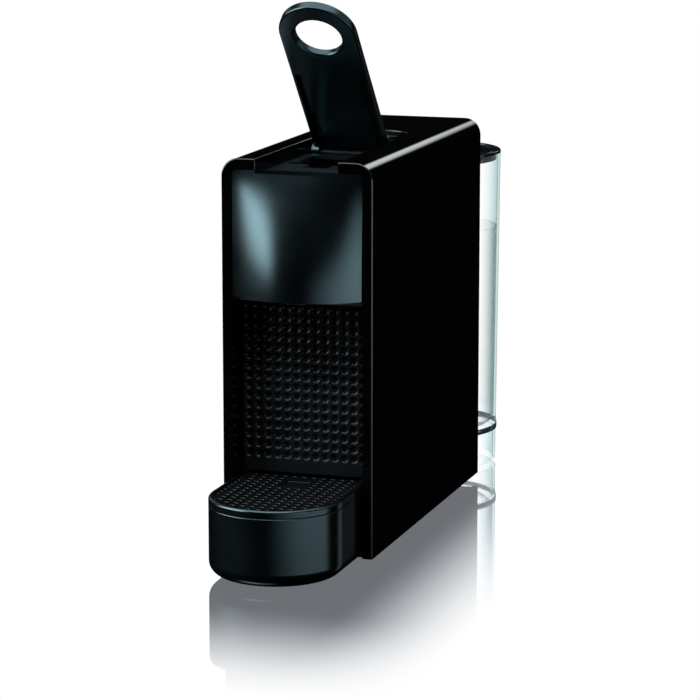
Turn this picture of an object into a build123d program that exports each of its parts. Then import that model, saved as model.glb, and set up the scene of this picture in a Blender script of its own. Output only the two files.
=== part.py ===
"""Slim pod coffee machine: a glossy casing, a lever raised over the pod slot, a front drawer with the
drip tray and the capsule container, and a round water tank standing behind.

Millimetres, +Z up, front towards -Y. The origin is on the table, under the middle of the machine.
The lever is modelled raised, the brew unit open, the tank and the drawer in place.
"""
import os
from math import cos, radians, sin

from build123d import *

os.makedirs("parts", exist_ok=True)

# ---- driving dimensions -------------------------------------------------------------------------
CASE_HALF = 39.5            # half width of the casing
CASE_BOTTOM = 4.0
CASE_TOP = 204.0
FRONT = -107.0              # front plane of the casing
CASE_DEPTH = 200.3
REAR = FRONT + CASE_DEPTH   # rear plane of the casing
CASE_CORNER = 9.0           # outer radius of the two top corners
WALL = 2.6                  # casing wall behind the front band
BAND = 5.2                  # width of the front band, seen from the front
BAND_DEPTH = 13.5           # how far the front band runs back
FOOT_HEIGHT = 4.6

CHANNEL_HALF = 21.6         # half width of the lever channel in the top
CHANNEL_LENGTH = 134.3
CHANNEL_END_R = 17.0        # corners of the channel's rear end
CHANNEL_FLOOR = 196.8
FLANGE = 1.6                # wall of the casing that turns down into the channel

LEVER_ANGLE = 48.9          # how far the lever is raised
PIVOT_Y = FRONT + 88.1
PIVOT_Z = 196.5
AXLE_R = 2.5
RUNNING_GAP = 0.05          # radial clearance of a turning pin
LEVER_HALF = 20.0
LEVER_THICK = 5.0
LEVER_UNDER = 2.1           # underside of the lever above the pivot, square to the lever
TIP_REACH = 85.6            # pivot to the middle of the lever's round tip
RING_REACH = 83.9           # pivot to the middle of the finger hole
RING_HOLE_R = 12.2
PLATE_TOP = 57.0            # pivot to the far end of the recess in the underside

POD_Z = 170.0               # height of the pod's axis in the brew unit
POD_FRONT = FRONT + 40.3    # front of the slot for the pod's flange
POD_STEP = FRONT + 46.3     # where the slot narrows to the pod's body
POD_REAR = FRONT + 74.5
FLANGE_SLOT_HALF = 18.9
BODY_SLOT_HALF = 15.7
CRANK_R = 44.0              # crank arm inside the machine, from the axle to its pin
CRANK_PIN_R = 2.0

HEAD_BOTTOM = 135.0
HEAD_BULGE = 15.4           # how far the head stands out at its lower edge
HEAD_HALF = 34.1

TRAY_HALF = 33.9            # half width of the drip tray, and the radius of its round front
TRAY_ROUND_Y = FRONT - 31.3
TRAY_BOTTOM = 2.6
TRAY_SEAM = 37.7
TRAY_TOP = 41.8
TRAY_REAR = FRONT + 13.2
TRAY_WALL = 2.2
SEAM_ROUND = 0.45           # soft edges either side of the seam under the rim

BIN_FRONT = FRONT + 14.2    # dimpled front of the capsule container
BIN_REAR = FRONT + 76.0
BIN_HALF = 33.6
BIN_BOTTOM = 42.2
BIN_TOP = 129.6
DIMPLE_PITCH = 5.05
DIMPLE_R = 1.95
DIMPLE_COLUMNS = 13
DIMPLE_ROWS = 16

GRID_BOTTOM = 39.6
GRID_TOP = 41.2
GRID_HOLE_R = 1.6           # holes on the dimples' pitch
FINGER_HALF = 6.4           # shallow finger hold in the grid
FINGER_FRONT = FRONT - 9.5
FINGER_REAR = FRONT + 3.5

TANK_Y = FRONT + 239.9
TANK_TOP = 179.4            # rim of the tank, under the lid's flange
LID_TOP = 181.2
TANK_BOTTOM = 2.2
TANK_TOP_R = 39.3
TANK_BOTTOM_R = 37.7
TANK_WALL = 1.8
TANK_FLOOR = 21.0
TANK_FLOOR_THICK = 2.4

DOCK_HALF = 15.0            # tongue of the base under the tank
DOCK_TOP = 18.5
SHELF = 130.0               # underside of the shelf that carries the brew unit
SHELF_THICK = 2.6
BASE_TOP = 8.0
BULKHEAD = FRONT + 79.0
COVER_FACE = REAR - 1.4     # outer face of the rear cover
COVER_THICK = 2.6
COVER_BACK = COVER_FACE - COVER_THICK

CORD_X = 22.0               # the power cord's inlet in the rear cover
CORD_Z = 40.0
SCREW_POSTS = [(x, z) for x in (-31.0, 31.0) for z in (22.0, 122.0)]

BUTTON_X = 9.6
BUTTON_Y = FRONT + 115.0
BUTTON_R = 8.0
PANEL_TOP = 203.4

LEVER_PLANE = Plane(
    origin=(0, PIVOT_Y, PIVOT_Z),
    x_dir=(1, 0, 0),
    z_dir=(0, sin(radians(LEVER_ANGLE)), cos(radians(LEVER_ANGLE))),
)


# ---- helpers ------------------------------------------------------------------------------------
def across(y):
    """Sketch plane across the machine at depth y: x is X, y is Z, and it extrudes to the front."""
    return Plane.XZ.offset(-y)


def beside(x):
    """Sketch plane along the machine at width x: x is Y, y is Z, and it extrudes to +X."""
    return Plane.YZ.offset(x)


def save(part, name):
    """Label a finished piece and write it as one STEP file."""
    part.label = name
    export_step(part, "parts/" + name + ".step")


def block(x0, x1, y0, y1, z0, z1, mode=Mode.ADD):
    """Box between two corners."""
    with Locations(((x0 + x1) / 2, (y0 + y1) / 2, (z0 + z1) / 2)):
        return Box(abs(x1 - x0), abs(y1 - y0), abs(z1 - z0), mode=mode)


def upright(radius, x, y, z0, z1, mode=Mode.ADD):
    """Cylinder along Z between two heights."""
    with Locations((x, y, (z0 + z1) / 2)):
        return Cylinder(radius, z1 - z0, mode=mode)


def lengthwise(radius, x, z, y0, y1, mode=Mode.ADD):
    """Cylinder along Y between two depths."""
    with Locations(Location((x, (y0 + y1) / 2, z), (90, 0, 0))):
        return Cylinder(radius, abs(y1 - y0), mode=mode)


def crosswise(radius, y, z, x0, x1, mode=Mode.ADD):
    """Cylinder along X between two widths."""
    with Locations(Location(((x0 + x1) / 2, y, z), (0, 90, 0))):
        return Cylinder(radius, abs(x1 - x0), mode=mode)


def case_outline(half, bottom, top, corner):
    """Upright rectangle with two rounded top corners, on the open sketch."""
    with Locations((0, (bottom + top) / 2)):
        Rectangle(2 * half, top - bottom)
    fillet(vertices().group_by(Axis.Y)[-1], corner)


def tray_outline(inset, rear):
    """Drip tray seen from above: straight sides and a round front, on the open sketch."""
    half = TRAY_HALF - inset
    with BuildLine() as outline:
        Line((-half, TRAY_ROUND_Y), (-half, rear))
        Line((-half, rear), (half, rear))
        Line((half, rear), (half, TRAY_ROUND_Y))
        RadiusArc((half, TRAY_ROUND_Y), (-half, TRAY_ROUND_Y), half)
    make_face(outline.edges())


def hose(points, bend, radius):
    """Tube along straight runs joined by tangent arcs."""
    with BuildLine() as route:
        FilletPolyline(*points, radius=bend)
    start = route.line @ 0
    with BuildSketch(Plane(origin=start, z_dir=route.line % 0)) as section:
        Circle(radius)
    sweep(sections=section.sketch, path=route.line)


# ---- casing -------------------------------------------------------------------------------------
with BuildPart() as outer_shell:
    with BuildSketch(across(REAR)):
        case_outline(CASE_HALF, CASE_BOTTOM, CASE_TOP, CASE_CORNER)
    extrude(amount=CASE_DEPTH)
    # soft front edge of the band
    fillet(outer_shell.edges().group_by(Axis.Y)[0].filter_by(lambda e: e.center().Z > CASE_BOTTOM + 1), 0.8)
    with BuildSketch(across(REAR)):
        case_outline(CASE_HALF - BAND, CASE_BOTTOM - 1, CASE_TOP - BAND, 3.0)
    extrude(amount=CASE_DEPTH, mode=Mode.SUBTRACT)
    with BuildSketch(across(REAR)):
        case_outline(CASE_HALF - WALL, CASE_BOTTOM - 1, CASE_TOP - WALL, CASE_CORNER - WALL)
    extrude(amount=CASE_DEPTH - BAND_DEPTH, mode=Mode.SUBTRACT)
    # the casing turns down round the lever channel
    with BuildSketch(Plane.XY.offset(CHANNEL_FLOOR)):
        with Locations((0, FRONT + BAND_DEPTH + (CHANNEL_LENGTH - BAND_DEPTH + FLANGE) / 2)):
            Rectangle(2 * (CHANNEL_HALF + FLANGE), CHANNEL_LENGTH - BAND_DEPTH + FLANGE)
        fillet(vertices().group_by(Axis.Y)[-1], CHANNEL_END_R + FLANGE)
    extrude(amount=CASE_TOP - WALL - CHANNEL_FLOOR)
    with BuildSketch(Plane.XY.offset(CHANNEL_FLOOR - 1)):
        with Locations((0, FRONT + (CHANNEL_LENGTH - 20) / 2)):
            Rectangle(2 * CHANNEL_HALF, CHANNEL_LENGTH + 20)
        fillet(vertices().group_by(Axis.Y)[-1], CHANNEL_END_R)
    extrude(amount=20, mode=Mode.SUBTRACT)
    # the front part of the channel stays clear of the head cover
    block(-CHANNEL_HALF - FLANGE - 1, CHANNEL_HALF + FLANGE + 1, FRONT + BAND_DEPTH - 1, FRONT + BAND_DEPTH + 1,
          CHANNEL_FLOOR - 1, CASE_TOP - BAND, mode=Mode.SUBTRACT)
    # the axle passes through both sides of the channel
    crosswise(AXLE_R + 0.8, PIVOT_Y, PIVOT_Z, -CHANNEL_HALF - 4, CHANNEL_HALF + 4, mode=Mode.SUBTRACT)
    channel_rim = outer_shell.edges().filter_by(Axis.Y).group_by(Axis.Z)[-1].filter_by(
        lambda e: abs(abs(e.center().X) - CHANNEL_HALF) < 0.1)
    fillet(channel_rim, 0.5)
save(outer_shell.part, "outer_shell")

with BuildPart() as base_plate:
    block(-36.7, 36.7, FRONT + BAND_DEPTH + 0.3, REAR - 0.3, FOOT_HEIGHT, BASE_TOP)
    block(-34.1, 34.1, FRONT + 0.8, FRONT + BAND_DEPTH + 0.3, FOOT_HEIGHT, BASE_TOP)
    # dock tongue with a round end under the tank
    block(-DOCK_HALF, DOCK_HALF, REAR - 0.3, TANK_Y, FOOT_HEIGHT, DOCK_TOP)
    upright(DOCK_HALF, 0, TANK_Y, FOOT_HEIGHT, DOCK_TOP)
    block(-DOCK_HALF + 2.2, DOCK_HALF - 2.2, REAR - 1, TANK_Y, BASE_TOP, DOCK_TOP - 2.2, mode=Mode.SUBTRACT)
    upright(DOCK_HALF - 2.2, 0, TANK_Y, BASE_TOP, DOCK_TOP - 2.2, mode=Mode.SUBTRACT)
    upright(6.0, 0, TANK_Y, DOCK_TOP - 3, DOCK_TOP + 1, mode=Mode.SUBTRACT)
save(base_plate.part, "base_plate")

with BuildPart() as rear_cover:
    with BuildSketch(across(COVER_FACE)):
        case_outline(CASE_HALF - WALL - 0.2, BASE_TOP + 0.2, CASE_TOP - WALL - 0.2, CASE_CORNER - WALL)
        # gap over the dock tongue, for the water hose
        with Locations((0, BASE_TOP + 5)):
            Rectangle(2 * DOCK_HALF - 4.4, 14, mode=Mode.SUBTRACT)
        with GridLocations(0, 6.0, 1, 9):
            with Locations((0, 150)):
                SlotOverall(40, 2.4, mode=Mode.SUBTRACT)
        with Locations(*SCREW_POSTS):
            Circle(1.7, mode=Mode.SUBTRACT)
        with Locations((CORD_X, CORD_Z)):
            Circle(4.5, mode=Mode.SUBTRACT)
    extrude(amount=COVER_THICK)
save(rear_cover.part, "rear_cover")

with BuildPart() as cord_inlet:
    lengthwise(7.0, CORD_X, CORD_Z, COVER_FACE, COVER_FACE + 1.2)
    lengthwise(4.5, CORD_X, CORD_Z, COVER_BACK - 1.5, COVER_FACE)
    lengthwise(6.0, CORD_X, CORD_Z, COVER_BACK - 3.0, COVER_BACK)
    lengthwise(3.2, CORD_X, CORD_Z, COVER_BACK - 4, COVER_FACE + 3, mode=Mode.SUBTRACT)
save(cord_inlet.part, "cord_inlet")

with BuildPart() as cover_screws:
    for x, z in SCREW_POSTS:
        lengthwise(3.0, x, z, COVER_FACE, COVER_FACE + 1.2)
        lengthwise(1.5, x, z, COVER_BACK - 9, COVER_FACE)
save(cover_screws.part, "cover_screws")

FOOT_SPOTS = [(x, y) for x in (-27.0, 27.0) for y in (FRONT + 24.0, REAR - 18.0)]
with BuildPart() as rubber_feet:
    for x, y in FOOT_SPOTS:
        with BuildSketch(Plane.XY):
            with Locations((x, y)):
                Circle(6.0)
        extrude(amount=FOOT_HEIGHT, taper=-3)
save(rubber_feet.part, "rubber_feet")

# ---- chassis inside the casing --------------------------------------------------------------------
with BuildPart() as chassis:
    block(-36.4, 36.4, BULKHEAD, BULKHEAD + 2.5, BASE_TOP, SHELF)
    for side in (-1, 1):
        block(side * 34.2, side * 36.4, BULKHEAD, COVER_BACK, BASE_TOP, SHELF)
    block(-36.4, 36.4, FRONT + BAND_DEPTH + 1.0, COVER_BACK, SHELF, SHELF + SHELF_THICK)
    for x, z in SCREW_POSTS:
        block(x - 3.5, x + 3.5, COVER_BACK - 14, COVER_BACK, z - 3.5, z + 3.5)
        lengthwise(1.5, x, z, COVER_BACK - 12, COVER_BACK + 1, mode=Mode.SUBTRACT)
    # chute for used pods, and the brew pipe's hole
    block(-19.5, 19.5, FRONT + 38, BULKHEAD, SHELF - 1, SHELF + SHELF_THICK + 1, mode=Mode.SUBTRACT)
    upright(6.0, 0, FRONT + 140, SHELF - 1, SHELF + SHELF_THICK + 1, mode=Mode.SUBTRACT)
save(chassis.part, "chassis")

# ---- head and channel -----------------------------------------------------------------------------
HEAD_LEVELS = [(HEAD_BOTTOM, HEAD_BULGE), (160.0, 12.6), (182.0, 6.8), (198.4, 0.8)]


def head_section(z, bulge, inset):
    """Level slice through the head: a bowed front and a flat back."""
    half = HEAD_HALF - inset
    front = FRONT + 0.4 + inset
    back = FRONT + BAND_DEPTH - inset * 0.2
    with BuildSketch(Plane.XY.offset(z)) as slice_:
        with BuildLine():
            SagittaArc((half, front), (-half, front), bulge)
            Line((-half, front), (-half, back))
            Line((-half, back), (half, back))
            Line((half, back), (half, front))
        make_face()
    return slice_.sketch


with BuildPart() as head_cover:
    for z, bulge in HEAD_LEVELS:
        add(head_section(z, bulge, 0))
    loft()
    for z, bulge in HEAD_LEVELS:
        add(head_section(z if z < 190 else 195.4, bulge, 2.2))
    loft(mode=Mode.SUBTRACT)
    # open back and open underside around the spout
    block(-HEAD_HALF + 2.2, HEAD_HALF - 2.2, FRONT + 4, FRONT + 20, HEAD_BOTTOM - 1, 195.0, mode=Mode.SUBTRACT)
    # rounded upper corners that follow the band
    with BuildSketch(across(FRONT + 30)):
        case_outline(HEAD_HALF, HEAD_BOTTOM - 5, CASE_TOP - BAND - 0.4, 3.0)
    extrude(amount=60, mode=Mode.INTERSECT)
    # the middle lies level with the channel floor
    block(-CHANNEL_HALF, CHANNEL_HALF, FRONT - 20, FRONT + 20, CHANNEL_FLOOR, 200, mode=Mode.SUBTRACT)
save(head_cover.part, "head_cover")

with BuildPart() as channel_floor:
    block(-CHANNEL_HALF - 1.2, CHANNEL_HALF + 1.2, FRONT + BAND_DEPTH, FRONT + 105, CHANNEL_FLOOR - 1.8,
          CHANNEL_FLOOR)
    # pod slot: a notch, the flange and the pod's body
    block(-6.5, 6.5, FRONT + 28.5, POD_FRONT, 190, 200, mode=Mode.SUBTRACT)
    block(-FLANGE_SLOT_HALF, FLANGE_SLOT_HALF, POD_FRONT, POD_STEP, 190, 200, mode=Mode.SUBTRACT)
    block(-BODY_SLOT_HALF, BODY_SLOT_HALF, POD_STEP, POD_REAR, 190, 200, mode=Mode.SUBTRACT)
    # room for the lever's knuckles
    block(-30, 30, PIVOT_Y - 6.5, PIVOT_Y + 10.5, 190, 200, mode=Mode.SUBTRACT)
    for side in (-1, 1):
        block(side * 20.8, side * 22.8, PIVOT_Y - 8.5, PIVOT_Y + 12.5, 188, 191.5)
        block(side * 20.8, side * 22.8, PIVOT_Y - 8.5, PIVOT_Y - 6.5, 188, CHANNEL_FLOOR)
        block(side * 20.8, side * 22.8, PIVOT_Y + 10.5, PIVOT_Y + 12.5, 188, CHANNEL_FLOOR)
save(channel_floor.part, "channel_floor")

with BuildPart() as button_panel:
    with BuildSketch(Plane.XY.offset(PANEL_TOP)):
        with Locations((0, FRONT + (103 + CHANNEL_LENGTH - 0.2) / 2)):
            Rectangle(2 * CHANNEL_HALF - 0.4, CHANNEL_LENGTH - 0.2 - 103)
        fillet(vertices().group_by(Axis.Y)[-1], CHANNEL_END_R - 0.2)
    extrude(amount=-3.0)
    block(-CHANNEL_HALF + 0.2, CHANNEL_HALF - 0.2, FRONT + 103, FRONT + 105, CHANNEL_FLOOR, PANEL_TOP - 3)
    for side in (-1, 1):
        upright(BUTTON_R + 0.35, side * BUTTON_X, BUTTON_Y, PANEL_TOP - 4, PANEL_TOP + 1, mode=Mode.SUBTRACT)
    for y, radius in ((BUTTON_Y - 8, 1.8), (BUTTON_Y + 11, 2.2)):
        upright(radius, 0, y, 192.6, PANEL_TOP - 3)
save(button_panel.part, "button_panel")

with BuildPart() as coffee_spout:
    block(-8, 8, FRONT + 1, FRONT + 34, 137.5, 146)
    upright(7.0, 0, FRONT + 3, 132.5, 146)
    block(-6, 6, FRONT + 3, FRONT + 32, 139.5, 147, mode=Mode.SUBTRACT)
    upright(4.5, 0, FRONT + 3, 130, 147, mode=Mode.SUBTRACT)
save(coffee_spout.part, "coffee_spout")

# ---- buttons --------------------------------------------------------------------------------------
for name, side in (("small_cup_button", -1), ("large_cup_button", 1)):
    with BuildPart() as button:
        upright(BUTTON_R, side * BUTTON_X, BUTTON_Y, 198.0, PANEL_TOP - 0.2)
        fillet(button.edges().group_by(Axis.Z)[-1], 0.5)
        upright(BUTTON_R + 1.0, side * BUTTON_X, BUTTON_Y, 198.0, 199.4)
        with Locations((side * BUTTON_X, BUTTON_Y, PANEL_TOP + 42.6)):
            Sphere(44.0, mode=Mode.SUBTRACT)
    save(button.part, name)

for name, side in (("small_button_pad", -1), ("large_button_pad", 1)):
    with BuildPart() as button_pad:
        upright(5.5, side * BUTTON_X, BUTTON_Y, 192.6, 194.0)
        upright(4.0, side * BUTTON_X, BUTTON_Y, 194.0, 198.0)
    save(button_pad.part, name)

with BuildPart() as button_board:
    block(-20, 20, BUTTON_Y - 10, BUTTON_Y + 14, 191.0, 192.6)
save(button_board.part, "button_board")

# ---- lever ----------------------------------------------------------------------------------------
TAIL = 5.5                  # how far the lever runs behind its axle
with BuildPart() as lever:
    with BuildSketch(LEVER_PLANE.offset(LEVER_UNDER)):
        with BuildLine():
            Line((-LEVER_HALF, TAIL), (LEVER_HALF, TAIL))
            Line((LEVER_HALF, TAIL), (LEVER_HALF, -TIP_REACH))
            RadiusArc((LEVER_HALF, -TIP_REACH), (-LEVER_HALF, -TIP_REACH), LEVER_HALF)
            Line((-LEVER_HALF, -TIP_REACH), (-LEVER_HALF, TAIL))
        make_face()
    extrude(amount=LEVER_THICK)
    flat_faces = lever.faces().filter_by(Axis((0, 0, 0), LEVER_PLANE.z_dir))
    fillet(flat_faces.edges(), 0.9)
    # finger ring
    with BuildSketch(LEVER_PLANE.offset(LEVER_UNDER - 1)):
        with Locations((0, -RING_REACH)):
            Circle(RING_HOLE_R)
    extrude(amount=LEVER_THICK + 2, mode=Mode.SUBTRACT)
    ring_rims = lever.edges().filter_by(GeomType.CIRCLE).filter_by(lambda e: abs(e.radius - RING_HOLE_R) < 0.01)
    fillet(ring_rims, 1.5)
    # recess for the cover plate in the underside, with a deeper groove down its left side
    with BuildSketch(LEVER_PLANE.offset(LEVER_UNDER)):
        with Locations((0, -(PLATE_TOP + 2) / 2)):
            Rectangle(36.6, PLATE_TOP - 2)
    extrude(amount=1.2, mode=Mode.SUBTRACT)
    with BuildSketch(LEVER_PLANE.offset(LEVER_UNDER)):
        with Locations((-15.7, -(PLATE_TOP + 4) / 2)):
            Rectangle(5.2, PLATE_TOP - 4)
    extrude(amount=3.0, mode=Mode.SUBTRACT)
    # knuckles round the axle
    for side in (-1, 1):
        with BuildSketch(beside(side * 16.0)):
            with Locations((PIVOT_Y, PIVOT_Z)):
                Circle(5.0)
        extrude(amount=side * 4.0)
    crosswise(AXLE_R, PIVOT_Y, PIVOT_Z, -30, 30, mode=Mode.SUBTRACT)
save(lever.part, "lever")

with BuildPart() as lever_plate:
    with BuildSketch(LEVER_PLANE.offset(LEVER_UNDER + 0.2)):
        with Locations((1.4, -(PLATE_TOP + 2) / 2)):
            Rectangle(28.8, PLATE_TOP - 2.4)
    extrude(amount=1.0)
    # moulded screw dots near the axle
    with BuildSketch(LEVER_PLANE.offset(LEVER_UNDER + 0.2)):
        with Locations((12.2, -5.6), (15.0, -5.6)):
            Circle(0.7)
    extrude(amount=0.4, mode=Mode.SUBTRACT)
save(lever_plate.part, "lever_plate")

with BuildPart() as lever_axle:
    crosswise(AXLE_R, PIVOT_Y, PIVOT_Z, -30.0, 30.0)
save(lever_axle.part, "lever_axle")

PIN_Y = PIVOT_Y - CRANK_R * sin(radians(LEVER_ANGLE / 2))
PIN_Z = PIVOT_Z - CRANK_R * cos(radians(LEVER_ANGLE / 2))
with BuildPart() as crank_arms:
    for side in (-1, 1):
        with BuildSketch(beside(side * 23.5)):
            with BuildLine():
                Line((PIVOT_Y, PIVOT_Z), (PIN_Y, PIN_Z))
            trace(line_width=6.0)
            with Locations((PIVOT_Y, PIVOT_Z), (PIN_Y, PIN_Z)):
                Circle(4.4)
            with Locations((PIVOT_Y, PIVOT_Z)):
                Circle(AXLE_R, mode=Mode.SUBTRACT)
            with Locations((PIN_Y, PIN_Z)):
                Circle(CRANK_PIN_R, mode=Mode.SUBTRACT)
        extrude(amount=side * 2.6)
save(crank_arms.part, "crank_arms")

with BuildPart() as crank_pins:
    for side in (-1, 1):
        crosswise(CRANK_PIN_R, PIN_Y, PIN_Z, side * 20.2, side * 26.1)
save(crank_pins.part, "crank_pins")

# ---- brew unit ------------------------------------------------------------------------------------
FRAME_BOTTOM = SHELF + SHELF_THICK
with BuildPart() as brew_frame:
    for side in (-1, 1):
        block(side * 26.6, side * 29.0, FRONT + 16, FRONT + 125, FRAME_BOTTOM, 192)
        block(side * 26.6, side * 29.0, PIVOT_Y - 6, PIVOT_Y + 6, 190, 200.8)
        crosswise(AXLE_R + RUNNING_GAP, PIVOT_Y, PIVOT_Z, side * 26, side * 31, mode=Mode.SUBTRACT)
        # rail that keeps the pod's flange upright
        block(side * 19.0, side * 26.6, POD_FRONT, POD_STEP, 172, 186)
    block(-26.6, 26.6, FRONT + 16, FRONT + 20, FRAME_BOTTOM, 190)
    block(-26.6, 26.6, FRONT + 121, FRONT + 125, FRAME_BOTTOM, 190)
    block(-9, 9, FRONT + 15, FRONT + 21, FRAME_BOTTOM - 1, 148, mode=Mode.SUBTRACT)
    lengthwise(3.0, 0, POD_Z, FRONT + 120, FRONT + 126, mode=Mode.SUBTRACT)
save(brew_frame.part, "brew_frame")

SLOT_TOP = PIN_Z + CRANK_PIN_R + 0.6
SLOT_BOTTOM = PIVOT_Z - CRANK_R - CRANK_PIN_R - 0.6
with BuildPart() as brew_slide:
    block(-18.6, 18.6, FRONT + 27, FRONT + 35.5, 149, 189)
    block(-22.8, 22.8, FRONT + 27, FRONT + 35.5, SLOT_BOTTOM - 2.5, SLOT_TOP + 2.5)
    for side in (-1, 1):
        block(side * 20.2, side * 22.8, FRONT + 30, PIN_Y + 8, SLOT_BOTTOM - 2.5, SLOT_TOP + 2.5)
        block(side * 20, side * 23, PIN_Y - CRANK_PIN_R - 0.5, PIN_Y + CRANK_PIN_R + 0.5, SLOT_BOTTOM, SLOT_TOP,
              mode=Mode.SUBTRACT)
    lengthwise(3.0, 0, POD_Z, FRONT + 31, FRONT + 36, mode=Mode.SUBTRACT)
    upright(3.0, 0, FRONT + 31, 140, POD_Z, mode=Mode.SUBTRACT)
save(brew_slide.part, "brew_slide")

with BuildPart() as extraction_plate:
    lengthwise(17.5, 0, POD_Z, FRONT + 35.5, FRONT + 37.3)
    with BuildSketch(across(FRONT + 38.0)):
        with Locations((0, POD_Z)):
            with GridLocations(3.6, 3.6, 7, 7):
                Rectangle(2.2, 2.2)
    extrude(amount=1.0)
save(extraction_plate.part, "extraction_plate")

CAGE_MOUTH = FRONT + 76.5
with BuildPart() as pod_cage:
    with BuildSketch(beside(0)):
        with BuildLine():
            Polyline(
                (CAGE_MOUTH, POD_Z + 15.4), (CAGE_MOUTH, POD_Z + 19.4), (CAGE_MOUTH + 3, POD_Z + 19.4),
                (CAGE_MOUTH + 3, POD_Z + 17.4), (CAGE_MOUTH + 29.5, POD_Z + 15.4),
                (CAGE_MOUTH + 29.5, POD_Z + 8), (FRONT + 121, POD_Z + 8), (FRONT + 121, POD_Z + 2),
                (CAGE_MOUTH + 26.5, POD_Z + 2), (CAGE_MOUTH + 26.5, POD_Z + 13.2), (CAGE_MOUTH, POD_Z + 15.4),
            )
        make_face()
    revolve(axis=Axis((0, 0, POD_Z), (0, 1, 0)))
save(pod_cage.part, "pod_cage")

with BuildPart() as pierce_blades:
    for turn in (90, 210, 330):
        x = 7.5 * cos(radians(turn))
        z = POD_Z + 7.5 * sin(radians(turn))
        with BuildSketch(across(CAGE_MOUTH + 26.5)):
            with Locations((x, z)):
                Rectangle(1.0, 4.0, rotation=turn)
        extrude(amount=5.0)
save(pierce_blades.part, "pierce_blades")

with BuildPart() as cage_seal:
    lengthwise(19.0, 0, POD_Z, CAGE_MOUTH - 1.6, CAGE_MOUTH)
    lengthwise(15.6, 0, POD_Z, CAGE_MOUTH - 3, CAGE_MOUTH + 1, mode=Mode.SUBTRACT)
save(cage_seal.part, "cage_seal")

# ---- water circuit ----------------------------------------------------------------------------------
PUMP_Z = 36.0
with BuildPart() as pump_core:
    lengthwise(9.0, 0, PUMP_Z, FRONT + 96, FRONT + 168)
    lengthwise(2.0, 0, PUMP_Z, FRONT + 92, FRONT + 96)
    lengthwise(2.5, 0, PUMP_Z, FRONT + 168, FRONT + 173)
save(pump_core.part, "pump_core")

with BuildPart() as pump_coil:
    block(-19, 19, FRONT + 112, FRONT + 152, 17, 55)
    fillet(pump_coil.edges().filter_by(Axis.Y), 4)
    lengthwise(9.0, 0, PUMP_Z, FRONT + 110, FRONT + 154, mode=Mode.SUBTRACT)
save(pump_coil.part, "pump_coil")

with BuildPart() as pump_dampers:
    for y in (FRONT + 100, FRONT + 156):
        lengthwise(14.0, 0, PUMP_Z, y, y + 8)
        block(-10, 10, y, y + 8, BASE_TOP, 28)
    lengthwise(9.0, 0, PUMP_Z, FRONT + 90, FRONT + 175, mode=Mode.SUBTRACT)
save(pump_dampers.part, "pump_dampers")

with BuildPart() as heater_block:
    block(-25, 25, FRONT + 104, FRONT + 166, 78, 110)
    fillet(heater_block.edges().filter_by(Axis.Z), 6)
    for x in (-17, -8.5, 0, 8.5, 17):
        block(x - 1.2, x + 1.2, FRONT + 112, FRONT + 158, 74.5, 78)
    upright(2.5, 0, FRONT + 140, 110, 116)
    lengthwise(2.5, 0, 96, FRONT + 99, FRONT + 106)
save(heater_block.part, "heater_block")

with BuildPart() as heater_mounts:
    for x in (-18.0, 18.0):
        for y in (FRONT + 114, FRONT + 156):
            upright(4.0, x, y, 110, SHELF)
save(heater_mounts.part, "heater_mounts")

with BuildPart() as thermal_fuse:
    block(-5, 5, FRONT + 118, FRONT + 132, 110, 113.5)
    fillet(thermal_fuse.edges().filter_by(Axis.Z), 1.5)
save(thermal_fuse.part, "thermal_fuse")

METER_Y = FRONT + 184.0
HOSE_Z = 12.4
with BuildPart() as flow_meter:
    upright(9.0, 0, METER_Y, BASE_TOP, 22)
    upright(2.5, 0, METER_Y, 22, 27)
    lengthwise(2.5, 0, HOSE_Z, METER_Y + 8, METER_Y + 13)
save(flow_meter.part, "flow_meter")

with BuildPart() as tank_hose:
    lengthwise(3.0, 0, HOSE_Z, METER_Y + 13, TANK_Y - 5)
save(tank_hose.part, "tank_hose")

with BuildPart() as pump_hose:
    hose([(0, METER_Y, 27), (0, METER_Y, PUMP_Z), (0, FRONT + 173, PUMP_Z)], 6.0, 2.5)
save(pump_hose.part, "pump_hose")

with BuildPart() as heater_hose:
    hose([(0, FRONT + 92, PUMP_Z), (0, FRONT + 86, PUMP_Z), (0, FRONT + 86, 96), (0, FRONT + 99, 96)], 5.0, 2.0)
save(heater_hose.part, "heater_hose")

with BuildPart() as brew_hose:
    hose([(0, FRONT + 140, 116), (0, FRONT + 140, POD_Z), (0, FRONT + 121, POD_Z)], 8.0, 2.2)
save(brew_hose.part, "brew_hose")

with BuildPart() as dock_inlet:
    upright(5.0, 0, TANK_Y, 9.5, DOCK_TOP - 2.2)
    upright(5.9, 0, TANK_Y, DOCK_TOP - 2.2, DOCK_TOP)
    upright(2.3, 0, TANK_Y, DOCK_TOP, 25.5)
    upright(1.2, 0, TANK_Y, 12.0, 27.0, mode=Mode.SUBTRACT)
save(dock_inlet.part, "dock_inlet")

with BuildPart() as dock_seal:
    upright(9.0, 0, TANK_Y, DOCK_TOP, 20.6)
    upright(6.1, 0, TANK_Y, 10, 30, mode=Mode.SUBTRACT)
save(dock_seal.part, "dock_seal")

# ---- electronics --------------------------------------------------------------------------------------
BOARD_X = -31.0             # inner face of the control board
with BuildPart() as control_board:
    block(BOARD_X - 1.6, BOARD_X, FRONT + 92, FRONT + 178, 40, 118)
save(control_board.part, "control_board")

with BuildPart() as board_standoffs:
    for y in (FRONT + 96, FRONT + 174):
        for z in (44, 114):
            crosswise(2.0, y, z, -34.2, BOARD_X - 1.6)
save(board_standoffs.part, "board_standoffs")

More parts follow.
